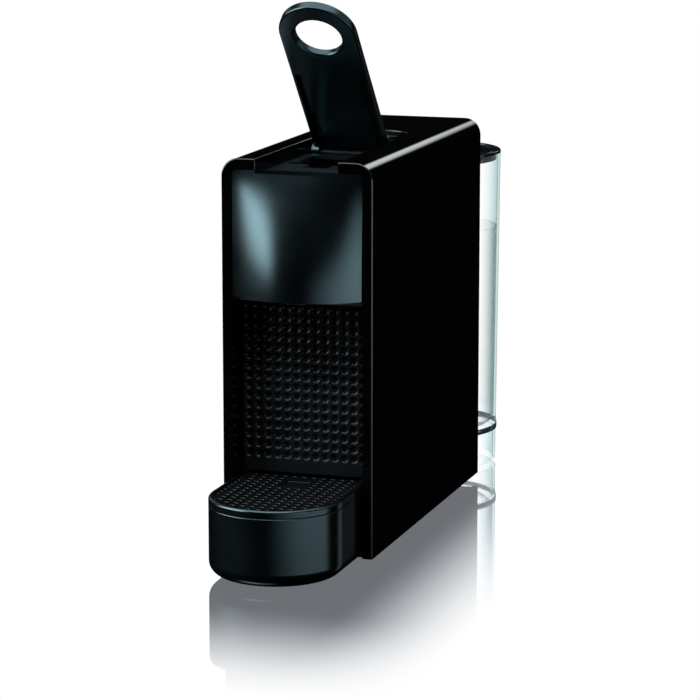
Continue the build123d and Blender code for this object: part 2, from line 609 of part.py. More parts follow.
with BuildPart() as board_components:
    block(BOARD_X, BOARD_X + 9, FRONT + 96, FRONT + 108, 46, 66)
    block(BOARD_X, BOARD_X + 5, FRONT + 116, FRONT + 140, 58, 72)
    block(BOARD_X, BOARD_X + 8, FRONT + 158, FRONT + 172, 60, 70)
    crosswise(5.0, FRONT + 150, 50, BOARD_X, BOARD_X + 8)
    crosswise(3.5, FRONT + 112, 52, BOARD_X, BOARD_X + 7)
save(board_components.part, "board_components")

# ---- front drawer: drip tray, grid and capsule container ------------------------------------------------
SLED_FLOOR = 9.0
SLED_TOP = 42.0
with BuildPart() as drip_base:
    with BuildSketch(Plane.XY.offset(TRAY_BOTTOM)):
        tray_outline(0, FRONT - 0.4)
    extrude(amount=TRAY_SEAM - TRAY_BOTTOM)
    lower_rim = drip_base.edges().group_by(Axis.Z)[0].filter_by(lambda e: e.center().Y < FRONT - 1)
    fillet(lower_rim, 7.0)
    seam_edge = drip_base.edges().group_by(Axis.Z)[-1].filter_by(lambda e: e.center().Y < FRONT - 1)
    fillet(seam_edge, SEAM_ROUND)
    with BuildSketch(Plane.XY.offset(SLED_FLOOR)):
        with Locations((0, (FRONT - 0.4 + TRAY_REAR) / 2)):
            Rectangle(2 * TRAY_HALF, TRAY_REAR - FRONT + 0.4)
    extrude(amount=TRAY_SEAM - SLED_FLOOR)
    with BuildSketch(Plane.XY.offset(TRAY_BOTTOM + 8)):
        tray_outline(TRAY_WALL, TRAY_REAR - 2)
    extrude(amount=TRAY_SEAM, mode=Mode.SUBTRACT)
    with BuildSketch(Plane.XY.offset(TRAY_BOTTOM + TRAY_WALL)):
        tray_outline(TRAY_WALL + 6, FRONT - 3)
    extrude(amount=10, mode=Mode.SUBTRACT)
    # sled under the capsule container
    block(-BIN_HALF, BIN_HALF, TRAY_REAR, BIN_REAR, SLED_FLOOR, SLED_TOP)
    block(-BIN_HALF + 2.2, BIN_HALF - 2.2, TRAY_REAR, BIN_REAR - 2.2, SLED_FLOOR + 2.2, SLED_TOP + 1,
          mode=Mode.SUBTRACT)
save(drip_base.part, "drip_base")

with BuildPart() as drip_rim:
    with BuildSketch(Plane.XY.offset(TRAY_SEAM)):
        tray_outline(0, TRAY_REAR)
    extrude(amount=TRAY_TOP - TRAY_SEAM)
    upper_rim = drip_rim.edges().group_by(Axis.Z)[-1]
    fillet(upper_rim, 1.2)
    lower_rim = drip_rim.edges().group_by(Axis.Z)[0].filter_by(lambda e: e.center().Y < TRAY_REAR - 1)
    fillet(lower_rim, SEAM_ROUND)
    with BuildSketch(Plane.XY.offset(TRAY_SEAM - 1)):
        tray_outline(4.4, TRAY_REAR - 4.4)
    extrude(amount=10, mode=Mode.SUBTRACT)
    with BuildSketch(Plane.XY.offset(GRID_BOTTOM)):
        tray_outline(2.4, TRAY_REAR + 1)
    extrude(amount=10, mode=Mode.SUBTRACT)
save(drip_rim.part, "drip_rim")

with BuildPart() as drip_grid:
    with BuildSketch(Plane.XY.offset(GRID_BOTTOM)):
        tray_outline(2.7, TRAY_REAR - 0.2)
    extrude(amount=GRID_TOP - GRID_BOTTOM)
    hole_spots = []
    for row in range(16):
        y = TRAY_REAR - 3.2 - row * DIMPLE_PITCH
        for column in range(-6, 7):
            x = column * DIMPLE_PITCH
            reach = max(TRAY_ROUND_Y - y, 0.0)
            in_hold = abs(x) < FINGER_HALF + 2 and FINGER_FRONT - 2 < y < FINGER_REAR + 2
            if x * x + reach * reach < (TRAY_HALF - 4.8) ** 2 and not in_hold:
                hole_spots.append((x, y))
    with BuildSketch(Plane.XY.offset(GRID_BOTTOM - 1)):
        with Locations(*hole_spots):
            Circle(GRID_HOLE_R)
    extrude(amount=4, mode=Mode.SUBTRACT)
    # finger hold near the back
    block(-FINGER_HALF, FINGER_HALF, FINGER_FRONT, FINGER_REAR, GRID_TOP - 1.0, 42, mode=Mode.SUBTRACT)
save(drip_grid.part, "drip_grid")

with BuildPart() as capsule_container:
    block(-BIN_HALF, BIN_HALF, BIN_FRONT, BIN_REAR, BIN_BOTTOM, BIN_TOP)
    block(-BIN_HALF + 2.0, BIN_HALF - 2.0, BIN_FRONT + 2.6, BIN_REAR - 2.0, BIN_BOTTOM + 2.0, BIN_TOP + 1,
          mode=Mode.SUBTRACT)
    with BuildSketch(across(BIN_FRONT + 0.8)):
        with Locations((0, 89.3)):
            with GridLocations(DIMPLE_PITCH, DIMPLE_PITCH, DIMPLE_COLUMNS, DIMPLE_ROWS):
                Circle(DIMPLE_R)
    extrude(amount=3, mode=Mode.SUBTRACT)
    # drain holes in the floor
    with BuildSketch(Plane.XY.offset(BIN_BOTTOM - 1)):
        with Locations((0, (BIN_FRONT + BIN_REAR) / 2)):
            with GridLocations(10, 10, 5, 5):
                Circle(1.5)
    extrude(amount=5, mode=Mode.SUBTRACT)
save(capsule_container.part, "capsule_container")

# ---- water tank ---------------------------------------------------------------------------------------
def tank_radius(z):
    """Outer radius of the slightly tapered tank at height z."""
    return TANK_BOTTOM_R + (TANK_TOP_R - TANK_BOTTOM_R) * (z - TANK_BOTTOM) / (TANK_TOP - TANK_BOTTOM)


with BuildPart() as water_tank:
    with BuildSketch(Plane(origin=(0, TANK_Y, 0), x_dir=(1, 0, 0), z_dir=(0, -1, 0))):
        with BuildLine():
            Polyline(
                (tank_radius(TANK_BOTTOM), TANK_BOTTOM),
                (tank_radius(TANK_TOP), TANK_TOP),
                (tank_radius(TANK_TOP) - TANK_WALL, TANK_TOP),
                (tank_radius(TANK_FLOOR + 6) - TANK_WALL, TANK_FLOOR + 6),
                (tank_radius(TANK_FLOOR) - TANK_WALL - 4, TANK_FLOOR + TANK_FLOOR_THICK),
                (8.0, TANK_FLOOR + TANK_FLOOR_THICK),
                (8.0, TANK_FLOOR),
                (tank_radius(TANK_FLOOR) - TANK_WALL, TANK_FLOOR),
                (tank_radius(TANK_BOTTOM) - TANK_WALL, TANK_BOTTOM),
                (tank_radius(TANK_BOTTOM), TANK_BOTTOM),
            )
        make_face()
    revolve(axis=Axis((0, TANK_Y, 0), (0, 0, 1)))
    # notch in the skirt for the dock tongue
    block(-DOCK_HALF - 1.5, DOCK_HALF + 1.5, TANK_Y - 50, TANK_Y, TANK_BOTTOM - 1, TANK_FLOOR - 0.2, mode=Mode.SUBTRACT)
save(water_tank.part, "water_tank")

LID_R = TANK_TOP_R - TANK_WALL - 0.6
with BuildPart() as tank_lid:
    upright(TANK_TOP_R, 0, TANK_Y, TANK_TOP, LID_TOP)
    fillet(tank_lid.edges().group_by(Axis.Z)[-1], 0.8)
    upright(LID_R, 0, TANK_Y, TANK_TOP - 3.8, TANK_TOP)
    upright(LID_R - 1.8, 0, TANK_Y, TANK_TOP - 5, TANK_TOP - 0.8, mode=Mode.SUBTRACT)
    # sunk middle of the lid
    upright(TANK_TOP_R - 2.2, 0, TANK_Y, LID_TOP - 0.7, LID_TOP + 1, mode=Mode.SUBTRACT)
save(tank_lid.part, "tank_lid")

with BuildPart() as tank_valve:
    upright(7.9, 0, TANK_Y, TANK_FLOOR, TANK_FLOOR + TANK_FLOOR_THICK)
    upright(10.5, 0, TANK_Y, TANK_FLOOR + TANK_FLOOR_THICK, 25.4)
    upright(6.0, 0, TANK_Y, 25.4, 34.0)
    upright(2.8, 0, TANK_Y, TANK_FLOOR - 1, 30.0, mode=Mode.SUBTRACT)
    for turn in (0, 90):
        with Locations(Location((0, TANK_Y, 29.0), (90, 0, turn))):
            Cylinder(1.6, 20, mode=Mode.SUBTRACT)
save(tank_valve.part, "tank_valve")
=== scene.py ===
import math

import bmesh
import bpy
from mathutils import Matrix, Vector


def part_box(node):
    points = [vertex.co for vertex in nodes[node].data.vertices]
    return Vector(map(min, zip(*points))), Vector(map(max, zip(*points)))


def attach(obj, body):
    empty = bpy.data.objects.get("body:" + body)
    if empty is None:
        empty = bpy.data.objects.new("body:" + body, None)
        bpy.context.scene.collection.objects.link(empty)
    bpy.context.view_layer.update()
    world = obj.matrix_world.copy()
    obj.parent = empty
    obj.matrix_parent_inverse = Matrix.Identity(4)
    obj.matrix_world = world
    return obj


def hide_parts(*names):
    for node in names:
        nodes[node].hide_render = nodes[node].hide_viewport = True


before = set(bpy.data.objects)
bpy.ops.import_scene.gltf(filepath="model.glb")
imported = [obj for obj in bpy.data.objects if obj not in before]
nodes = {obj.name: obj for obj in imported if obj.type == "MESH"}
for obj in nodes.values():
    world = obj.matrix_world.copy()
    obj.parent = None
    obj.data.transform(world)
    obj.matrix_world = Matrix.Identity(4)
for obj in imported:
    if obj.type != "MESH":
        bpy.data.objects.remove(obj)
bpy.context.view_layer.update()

MM = 0.001


# ---------------------------------------------------------------- camera
CAMERA_PLACE = Vector((0.47942, -1.52142, 0.39979))
CAMERA_TURN = math.radians(17.7042)
CAMERA_DROP = math.radians(11.0227)
CAMERA_LENS = 156.8
CAMERA_SENSOR = 36.0

lens = bpy.data.cameras.new("photo_camera")
lens.lens = CAMERA_LENS
lens.sensor_width = CAMERA_SENSOR
lens.clip_start = 0.05
lens.clip_end = 60.0
camera = bpy.data.objects.new("photo_camera", lens)
bpy.context.scene.collection.objects.link(camera)
look = Vector((-math.sin(CAMERA_TURN) * math.cos(CAMERA_DROP),
               math.cos(CAMERA_TURN) * math.cos(CAMERA_DROP),
               -math.sin(CAMERA_DROP)))
camera.location = CAMERA_PLACE
camera.rotation_mode = "QUATERNION"
camera.rotation_quaternion = look.to_track_quat("-Z", "Y")
bpy.context.scene.camera = camera
bpy.context.scene.view_settings.view_transform = "Standard"
bpy.context.scene.view_settings.look = "None"


# ---------------------------------------------------------------- node helpers
class Tree:
    """Short names for the nodes of one material or world."""

    def __init__(self, tree):
        self.tree = tree

    def node(self, kind, **values):
        made = self.tree.nodes.new(kind)
        for name, value in values.items():
            setattr(made, name, value)
        return made

    def join(self, source, target):
        self.tree.links.new(source, target)

    def feed(self, socket, value):
        if hasattr(value, "is_output"):
            self.join(value, socket)
        else:
            socket.default_value = value

    def maths(self, operation, first, second=0.0, third=None):
        made = self.node("ShaderNodeMath", operation=operation)
        self.feed(made.inputs[0], first)
        self.feed(made.inputs[1], second)
        if third is not None:
            self.feed(made.inputs[2], third)
        return made.outputs[0]

    def ramp(self, value, low, high, out_low=0.0, out_high=1.0, kind="SMOOTHSTEP"):
        made = self.node("ShaderNodeMapRange", interpolation_type=kind, clamp=True)
        self.feed(made.inputs["Value"], value)
        self.feed(made.inputs["From Min"], low)
        self.feed(made.inputs["From Max"], high)
        self.feed(made.inputs["To Min"], out_low)
        self.feed(made.inputs["To Max"], out_high)
        return made.outputs["Result"]

    def blend(self, share, first, second, kind="MIX"):
        made = self.node("ShaderNodeMix", data_type="RGBA", blend_type=kind)
        self.feed(made.inputs["Factor"], share)
        self.feed(made.inputs["A"], first)
        self.feed(made.inputs["B"], second)
        return made.outputs["Result"]


def rgba(red, green, blue):
    return (red, green, blue, 1.0)


# ---------------------------------------------------------------- world
BACKDROP = 1.0           # what the camera sees directly and through clear plastic
AMBIENT = 0.0015         # what reflections see between the soft boxes
LIGHT_COLOUR = (0.93, 0.98, 1.0)
# Name, the two azimuth edges, the two elevation edges, the strength, and whether second reflections
# see it too. Each edge is a place and the width over which it fades. Degrees; azimuth 0 is -Y, 90 is +X.
SOFTBOXES = (
    ("left_upper", (-94, 14), (-41, 16), (3, 10), (47, 12), 6.6, False),
    ("left_floor", (-117, 12), (-88, 12), (-88, 8), (-60, 12), 1.4, True),
    ("left_rear", (-150, 10), (-126, 10), (12, 12), (48, 12), 0.4, False),
    ("overhead", (-200, 1), (200, 1), (50, 16), (100, 16), 1.9, True),
    ("front_high", (-48, 10), (50, 14), (44, 8), (66, 10), 3.2, True),
    ("back_strip", (170, 6), (182, 6), (16, 5), (28, 6), 2.4, False),
    ("back_low", (-172, 6), (-150, 6), (-14, 5), (0, 4), 1.2, False),
    ("right_low", (36, 76), (112, 10), (-13, 8), (2, 8), 2.1, False),
    ("right_far", (146, 8), (157, 4), (-26, 8), (-2, 8), 0.25, False),
    ("right_upper", (84, 12), (140, 12), (12, 12), (48, 12), 0.3, False),
)


def paint_world():
    """White for the camera; soft boxes set out by direction for everything that lights or reflects."""
    world = bpy.data.worlds.new("studio")
    bpy.context.scene.world = world
    world.use_nodes = True
    world.node_tree.nodes.clear()
    t = Tree(world.node_tree)
    direction = t.node("ShaderNodeTexCoord").outputs["Generated"]
    split = t.node("ShaderNodeSeparateXYZ")
    t.join(direction, split.inputs[0])
    x, y, z = split.outputs
    azimuth = t.maths("ARCTAN2", x, t.maths("MULTIPLY", y, -1.0))
    turned = t.maths("ARCTAN2", t.maths("MULTIPLY", x, -1.0), y)
    elevation = t.maths("ARCSINE", z)
    path = t.node("ShaderNodeLightPath")
    first = t.maths("LESS_THAN", path.outputs["Glossy Depth"], 1.5)
    total = AMBIENT
    for _, left, right, low, high, strength, deep in SOFTBOXES:
        # boxes behind the machine are measured from +Y, clear of the jump at 180 degrees
        centre = (left[0] + right[0]) / 2
        angle, shift = azimuth, 0
        if abs(centre) > 90:
            angle, shift = turned, -180 if centre > 0 else 180
        edges = ((angle, left, shift, (0, 1)), (angle, right, shift, (1, 0)),
                 (elevation, low, 0, (0, 1)), (elevation, high, 0, (1, 0)))
        parts = []
        for value, (edge, soft), turn, outs in edges:
            start = math.radians(edge + turn - soft / 2)
            end = math.radians(edge + turn + soft / 2)
            parts.append(t.ramp(value, start, end, *outs))
        product = parts[0]
        for part in parts[1:] + ([] if deep else [first]):
            product = t.maths("MULTIPLY", product, part)
        total = t.maths("MULTIPLY_ADD", product, strength, total)
    straight = t.maths("MAXIMUM", path.outputs["Is Camera Ray"], path.outputs["Is Transmission Ray"])
    painted = t.node("ShaderNodeBackground")
    painted.inputs["Color"].default_value = rgba(*LIGHT_COLOUR)
    t.feed(painted.inputs["Strength"], total)
    plain = t.node("ShaderNodeBackground")
    plain.inputs["Color"].default_value = rgba(1, 1, 1)
    plain.inputs["Strength"].default_value = BACKDROP
    mixed = t.node("ShaderNodeMixShader")
    t.join(straight, mixed.inputs[0])
    t.join(painted.outputs[0], mixed.inputs[1])
    t.join(plain.outputs[0], mixed.inputs[2])
    out = t.node("ShaderNodeOutputWorld")
    t.join(mixed.outputs[0], out.inputs[0])


paint_world()


# ---------------------------------------------------------------- materials
def new_material(name):
    material = bpy.data.materials.new(name)
    material.use_nodes = True
    return material, Tree(material.node_tree), material.node_tree.nodes["Principled BSDF"]


def plastic(name, colour, roughness, spread=0.05, patch=25.0, grain=0.0, grain_size=0.35,
            tint=None, specular=0.5, colour_spread=0.25):
    """Moulded plastic: clouded colour and gloss, and a fine grain in millimetres."""
    material, t, shader = new_material(name)
    where = t.node("ShaderNodeTexCoord").outputs["Object"]
    cloud = t.node("ShaderNodeTexNoise")
    t.join(where, cloud.inputs["Vector"])
    cloud.inputs["Scale"].default_value = patch
    cloud.inputs["Detail"].default_value = 4.0
    dark = rgba(*[c * (1 - colour_spread) for c in colour])
    light = rgba(*[c * (1 + colour_spread) for c in colour])
    t.join(t.blend(t.ramp(cloud.outputs["Fac"], 0.3, 0.7), dark, light), shader.inputs["Base Color"])
    gloss = t.ramp(cloud.outputs["Fac"], 0.3, 0.7, roughness - spread, roughness + spread)
    t.join(gloss, shader.inputs["Roughness"])
    shader.inputs["Specular IOR Level"].default_value = specular
    if tint:
        shader.inputs["Specular Tint"].default_value = rgba(*tint)
    if grain:
        fine = t.node("ShaderNodeTexNoise")
        t.join(where, fine.inputs["Vector"])
        fine.inputs["Scale"].default_value = 1000.0 / grain_size
        fine.inputs["Detail"].default_value = 2.0
        bump = t.node("ShaderNodeBump")
        bump.inputs["Strength"].default_value = 1.0
        bump.inputs["Distance"].default_value = grain * MM
        t.join(fine.outputs["Fac"], bump.inputs["Height"])
        t.join(bump.outputs["Normal"], shader.inputs["Normal"])
    return material


def metal(name, colour, roughness, brush=(1, 1, 1), scale=400.0, spread=0.1):
    """Metal with clouded gloss, stretched along the brushing."""
    material, t, shader = new_material(name)
    where = t.node("ShaderNodeTexCoord").outputs["Object"]
    stretch = t.node("ShaderNodeMapping")
    t.join(where, stretch.inputs["Vector"])
    stretch.inputs["Scale"].default_value = brush
    cloud = t.node("ShaderNodeTexNoise")
    t.join(stretch.outputs[0], cloud.inputs["Vector"])
    cloud.inputs["Scale"].default_value = scale
    cloud.inputs["Detail"].default_value = 5.0
    dark = rgba(*[c * 0.82 for c in colour])
    t.join(t.blend(cloud.outputs["Fac"], dark, rgba(*colour)), shader.inputs["Base Color"])
    gloss = t.ramp(cloud.outputs["Fac"], 0.3, 0.7, roughness - spread, roughness + spread)
    t.join(gloss, shader.inputs["Roughness"])
    shader.inputs["Metallic"].default_value = 1.0
    bump = t.node("ShaderNodeBump")
    bump.inputs["Distance"].default_value = 0.01 * MM
    t.join(cloud.outputs["Fac"], bump.inputs["Height"])
    t.join(bump.outputs["Normal"], shader.inputs["Normal"])
    return material


def clear(name, edge, start, coat):
    """Clear plastic or water with painted shade: darker where it is seen edge on, and less so on level faces,
    in place of the darkening that refraction gives.
    """
    material, t, shader = new_material(name)
    slant = t.node("ShaderNodeLayerWeight")
    slant.inputs["Blend"].default_value = 0.5
    share = t.ramp(slant.outputs["Facing"], start, 1.0)
    split = t.node("ShaderNodeSeparateXYZ")
    t.join(t.node("ShaderNodeNewGeometry").outputs["True Normal"], split.inputs[0])
    level = t.ramp(t.maths("ABSOLUTE", split.outputs[2]), 0.5, 0.9, 1.0, 0.12)
    share = t.maths("MULTIPLY", share, level)
    # painted shade: the base colour turns to the edge colour where the surface is seen edge on, less so on
    # level faces
    t.join(t.blend(share, rgba(1, 1, 1), rgba(*edge)), shader.inputs["Base Color"])
    shader.inputs["Transmission Weight"].default_value = 1.0
    shader.inputs["Roughness"].default_value = 0.0
    shader.inputs["IOR"].default_value = 1.01
    shader.inputs["Coat Weight"].default_value = coat
    shader.inputs["Coat Roughness"].default_value = 0.03
    return material


TEAL = (0.56, 0.9, 1.0)
gloss_black = plastic("piano_black", (0.0012, 0.0012, 0.0014), 0.04, 0.012, 18)
satin_black = plastic("satin_black", (0.0016, 0.0022, 0.0028), 0.21, 0.02, 30,
                      grain=0.002, grain_size=0.25, tint=TEAL, specular=1.0)
matte_black = plastic("matte_black", (0.004, 0.0045, 0.0052), 0.46, 0.04, 30,
                      grain=0.01, grain_size=0.3)
liner_black = plastic("liner_black", (0.004, 0.0048, 0.0055), 0.36, 0.04, 30,
                      grain=0.006, grain_size=0.3, tint=TEAL, specular=0.9)
inner_grey = plastic("inner_grey", (0.16, 0.17, 0.18), 0.5, 0.05, 40, grain=0.01)
smoke_lid = plastic("smoke_lid", (0.004, 0.0055, 0.006), 0.12, 0.02, 30, tint=TEAL)
dark_steel = metal("blackened_steel", (0.03, 0.031, 0.034), 0.38)
silicone = plastic("silicone_white", (0.62, 0.63, 0.6), 0.55, 0.06, 60, grain=0.008)
rubber = plastic("rubber_black", (0.02, 0.02, 0.02), 0.7, 0.08, 60, grain=0.02, grain_size=0.5)
board = plastic("board_green", (0.01, 0.09, 0.04), 0.35, 0.08, 120, colour_spread=0.35)
component = plastic("component_black", (0.03, 0.03, 0.034), 0.45, 0.1, 300, colour_spread=0.6)
coil = plastic("coil_tape", (0.45, 0.36, 0.12), 0.4, 0.08, 200)
valve = plastic("valve_grey", (0.1, 0.11, 0.12), 0.35, 0.05, 60)
steel = metal("brushed_steel", (0.6, 0.6, 0.6), 0.28, (1, 12, 12))
zinc = metal("zinc_plate", (0.62, 0.62, 0.64), 0.25)
cast = metal("cast_aluminium", (0.66, 0.67, 0.68), 0.45, scale=700.0)
wall_black = plastic("wall_black", (0.007, 0.0085, 0.0105), 0.22, 0.02, 40,
                     grain=0.002, grain_size=0.3, specular=0.6)
grid_black = plastic("grid_black", (0.0024, 0.003, 0.0036), 0.22, 0.02, 40,
                     grain=0.002, grain_size=0.3, specular=0.3)
icon_white = plastic("icon_white", (0.8, 0.82, 0.8), 0.4, 0.05, 300, colour_spread=0.04)
# the edge colours of the two clear materials are painted shade for their edges
clear_plastic = clear("clear_plastic", (0.5, 0.7, 0.7), 0.3, 0.35)
water_clear = clear("water_clear", (0.14, 0.22, 0.23), 0.28, 0.1)
band_smoke = plastic("band_smoke", (0.05, 0.08, 0.09), 0.15, 0.03, 60)
skirt_black = plastic("skirt_black", (0.003, 0.0036, 0.004), 0.5, 0.05, 60, specular=0.06)

FINISH = {
    gloss_black: ("outer_shell", "rear_cover", "button_panel"),
    satin_black: ("head_cover", "lever", "lever_plate", "drip_base", "drip_rim"),
    liner_black: ("channel_floor", "small_cup_button", "large_cup_button"),
    matte_black: ("drip_grid", "capsule_container", "coffee_spout", "base_plate", "cord_inlet"),
    inner_grey: ("chassis", "brew_frame", "brew_slide"),
    clear_plastic: ("water_tank",),
    smoke_lid: ("tank_lid",),
    steel: ("extraction_plate", "pierce_blades", "pod_cage", "crank_pins"),
    dark_steel: ("lever_axle",),
    zinc: ("cover_screws", "crank_arms"),
    cast: ("heater_block", "pump_core"),
    silicone: ("small_button_pad", "large_button_pad", "cage_seal", "heater_mounts", "tank_hose", "pump_hose",
               "heater_hose", "brew_hose", "dock_seal"),
    rubber: ("rubber_feet", "pump_dampers"),
    board: ("control_board", "button_board"),
    component: ("board_components", "board_standoffs", "thermal_fuse"),
    coil: ("pump_coil",),
    valve: ("tank_valve", "dock_inlet", "flow_meter"),
}
for finish, names in FINISH.items():
    for node_name in names:
        slots = nodes[node_name].data.materials
        slots.clear()
        slots.append(finish)


# ---------------------------------------------------------------- mesh helpers
def soften(mesh, sharp):
    """Smooth shading, with edges kept where faces meet at more than an angle in degrees."""
    mesh.shade_smooth()
    mesh.set_sharp_from_angle(angle=math.radians(sharp))


def piece(name, b, material, body, replaces=(), sharp=35):
    """Turns a bmesh in millimetres into a finished piece that rides on a body."""
    bmesh.ops.scale(b, vec=(MM, MM, MM), verts=b.verts)
    bmesh.ops.recalc_face_normals(b, faces=b.faces)
    mesh = bpy.data.meshes.new(name)
    b.to_mesh(mesh)
    b.free()
    mesh.materials.append(material)
    obj = bpy.data.objects.new(name, mesh)
    bpy.context.scene.collection.objects.link(obj)
    soften(mesh, sharp)
    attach(obj, body)
    if replaces:
        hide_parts(*replaces)
    return obj


def bake_modifiers(obj):
    """Writes an object's modifiers into its mesh."""
    graph = bpy.context.evaluated_depsgraph_get()
    mesh = bpy.data.meshes.new_from_object(obj.evaluated_get(graph))
    obj.modifiers.clear()
    obj.data = mesh


def cut(obj, cutter, operation="DIFFERENCE", sharp=None):
    """Boolean of a piece with a bmesh in millimetres, shaded anew where an angle is given."""
    bmesh.ops.scale(cutter, vec=(MM, MM, MM), verts=cutter.verts)
    bmesh.ops.recalc_face_normals(cutter, faces=cutter.faces)
    mesh = bpy.data.meshes.new("cutter")
    cutter.to_mesh(mesh)
    cutter.free()
    tool = bpy.data.objects.new("cutter", mesh)
    bpy.context.scene.collection.objects.link(tool)
    change = obj.modifiers.new("cut", "BOOLEAN")
    change.operation = operation
    change.solver = "EXACT"
    change.object = tool
    bake_modifiers(obj)
    bpy.data.objects.remove(tool)
    if sharp:
        soften(obj.data, sharp)


def lathe(profile, centre, turns=144):
    """Closed (radius, height) outline turned round a vertical axis."""
    b = bmesh.new()
    rings = []
    for i in range(turns):
        angle = 2 * math.pi * i / turns
        rings.append([b.verts.new((centre[0] + r * math.cos(angle), centre[1] + r * math.sin(angle), z))
                      for r, z in profile])
    count = len(profile)
    for i in range(turns):
        here, there = rings[i], rings[(i + 1) % turns]
        for j in range(count):
            k = (j + 1) % count
            if profile[j][0] or profile[k][0]:
                b.faces.new((here[j], here[k], there[k], there[j]))
    bmesh.ops.remove_doubles(b, verts=b.verts, dist=1e-5)
    bmesh.ops.dissolve_degenerate(b, edges=b.edges, dist=1e-6)
    return b


def box_mesh(x0, x1, y0, y1, z0, z1, rounding=0.0, segments=2):
    b = bmesh.new()
    made = bmesh.ops.create_cube(b, size=1.0)["verts"]
    bmesh.ops.scale(b, vec=(abs(x1 - x0), abs(y1 - y0), abs(z1 - z0)), verts=made)
    bmesh.ops.translate(b, vec=((x0 + x1) / 2, (y0 + y1) / 2, (z0 + z1) / 2), verts=made)
    if rounding:
        edges = list({e for v in made for e in v.link_edges})
        bmesh.ops.bevel(b, geom=edges, offset=rounding, segments=segments, profile=0.5, affect="EDGES")
    return b


# ---------------------------------------------------------------- sizes shared with the CAD, from its nodes
def box_mm(name):
    low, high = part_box(name)
    return [c / MM for c in low], [c / MM for c in high]


TANK_LOW, TANK_HIGH = box_mm("water_tank")
TANK_AT = ((TANK_LOW[0] + TANK_HIGH[0]) / 2, (TANK_LOW[1] + TANK_HIGH[1]) / 2)
TANK_R = (TANK_HIGH[0] - TANK_LOW[0]) / 2
TANK_TOP = TANK_HIGH[2]
TANK_BOTTOM = TANK_LOW[2]
LID_LOW, LID_HIGH = box_mm("tank_lid")
BIN_LOW, BIN_HIGH = box_mm("capsule_container")
GRID_LOW, GRID_HIGH = box_mm("drip_grid")
PITCH = 5.05             # of the dimples and of the grid's holes
RING_STEPS = 24          # points round each of them
LIP_ANGLES = (25, 50, 75, 90)


# ---------------------------------------------------------------- soft-edged round recesses
def recess_field(columns, rows, radius, soft, depth, thickness, through=False, plain=()):
    """Sheet of square cells with a round recess in each, top at height 0, middle at the origin."""
    b = bmesh.new()
    steps = RING_STEPS
    half = PITCH / 2
    arcs = [(radius + soft, 0.0)]
    arcs += [(radius + soft - soft * math.sin(t), -soft * (1 - math.cos(t)))
             for t in map(math.radians, LIP_ANGLES)]
    if through:
        arcs += [(radius, -thickness)]
    else:
        arcs += [(radius, -depth + 0.25), (radius - 0.1, -depth + 0.07), (radius - 0.3, -depth)]
    for row in range(rows):
        for column in range(columns):
            cx = (column - (columns - 1) / 2) * PITCH
            cy = (row - (rows - 1) / 2) * PITCH
            border = []
            for i in range(steps):
                angle = 2 * math.pi * i / steps
                reach = half / max(abs(math.cos(angle)), abs(math.sin(angle)))
                border.append((cx + reach * math.cos(angle), cy + reach * math.sin(angle)))
            top = [b.verts.new((x, y, 0)) for x, y in border]
            if (column, row) in plain:
                b.faces.new(top)
                if through:
                    b.faces.new([b.verts.new((x, y, -thickness)) for x, y in reversed(border)])
                continue
            last = top
            for r, z in arcs:
                ring = [b.verts.new((cx + r * math.cos(2 * math.pi * i / steps),
                                     cy + r * math.sin(2 * math.pi * i / steps), z))
                        for i in range(steps)]
                for i in range(steps):
                    k = (i + 1) % steps
                    b.faces.new((last[i], last[k], ring[k], ring[i]))
                last = ring
            if through:
                low = [b.verts.new((x, y, -thickness)) for x, y in border]
                for i in range(steps):
                    k = (i + 1) % steps
                    b.faces.new((last[i], last[k], low[k], low[i]))
            else:
                middle = b.verts.new((cx, cy, -depth - 0.12))
                for i in range(steps):
                    b.faces.new((last[i], last[(i + 1) % steps], middle))
    bmesh.ops.remove_doubles(b, verts=b.verts, dist=1e-4)
    return b


def push_side(b, axis, at, to):
    """Extrudes the open edges that lie on one side of a sheet out to a new place."""
    edges = [e for e in b.edges if e.is_boundary and all(abs(v.co[axis] - at) < 1e-3 for v in e.verts)]
    made = bmesh.ops.extrude_edge_only(b, edges=edges)["geom"]
    for v in made:
        if isinstance(v, bmesh.types.BMVert):
            v.co[axis] = to


def close_back(b, x0, x1, y0, y1, soft, thickness):
    """Rounds the sheet's outline down, runs the sides back and closes the back."""
    cx, cy = (x0 + x1) / 2, (y0 + y1) / 2
    # the outline's rounding, at 30, 60 and 90 degrees, and the side behind it
    rounding = ((soft * 0.5, -soft * 0.13), (soft * 0.87, -soft * 0.5), (soft, -soft), (soft, -thickness))
    for grow, z in rounding:
        edges = [e for e in b.edges if e.is_boundary]
        made = bmesh.ops.extrude_edge_only(b, edges=edges)["geom"]
        for v in made:
            if isinstance(v, bmesh.types.BMVert):
                for axis, low, high, middle in ((0, x0, x1, cx), (1, y0, y1, cy)):
                    if abs(v.co[axis] - middle) > (high - low) / 2 - soft - 1e-3:
                        side = 1 if v.co[axis] > middle else -1
                        v.co[axis] = middle + side * ((high - low) / 2 - soft + grow)
                v.co.z = z
    bmesh.ops.holes_fill(b, edges=[e for e in b.edges if e.is_boundary], sides=0)


DIMPLES = (13, 16)       # columns and rows
DIMPLE_MIDDLE = 89.3     # height of the field's middle
DIMPLE_R = 2.06
DIMPLE_LIP = 0.2
DIMPLE_DEPTH = 1.5
FRONT_THICK = 2.6        # dimpled front of the container
FRONT_EDGE = 0.35        # rounding of its outline
BIN_WALL = 2.0


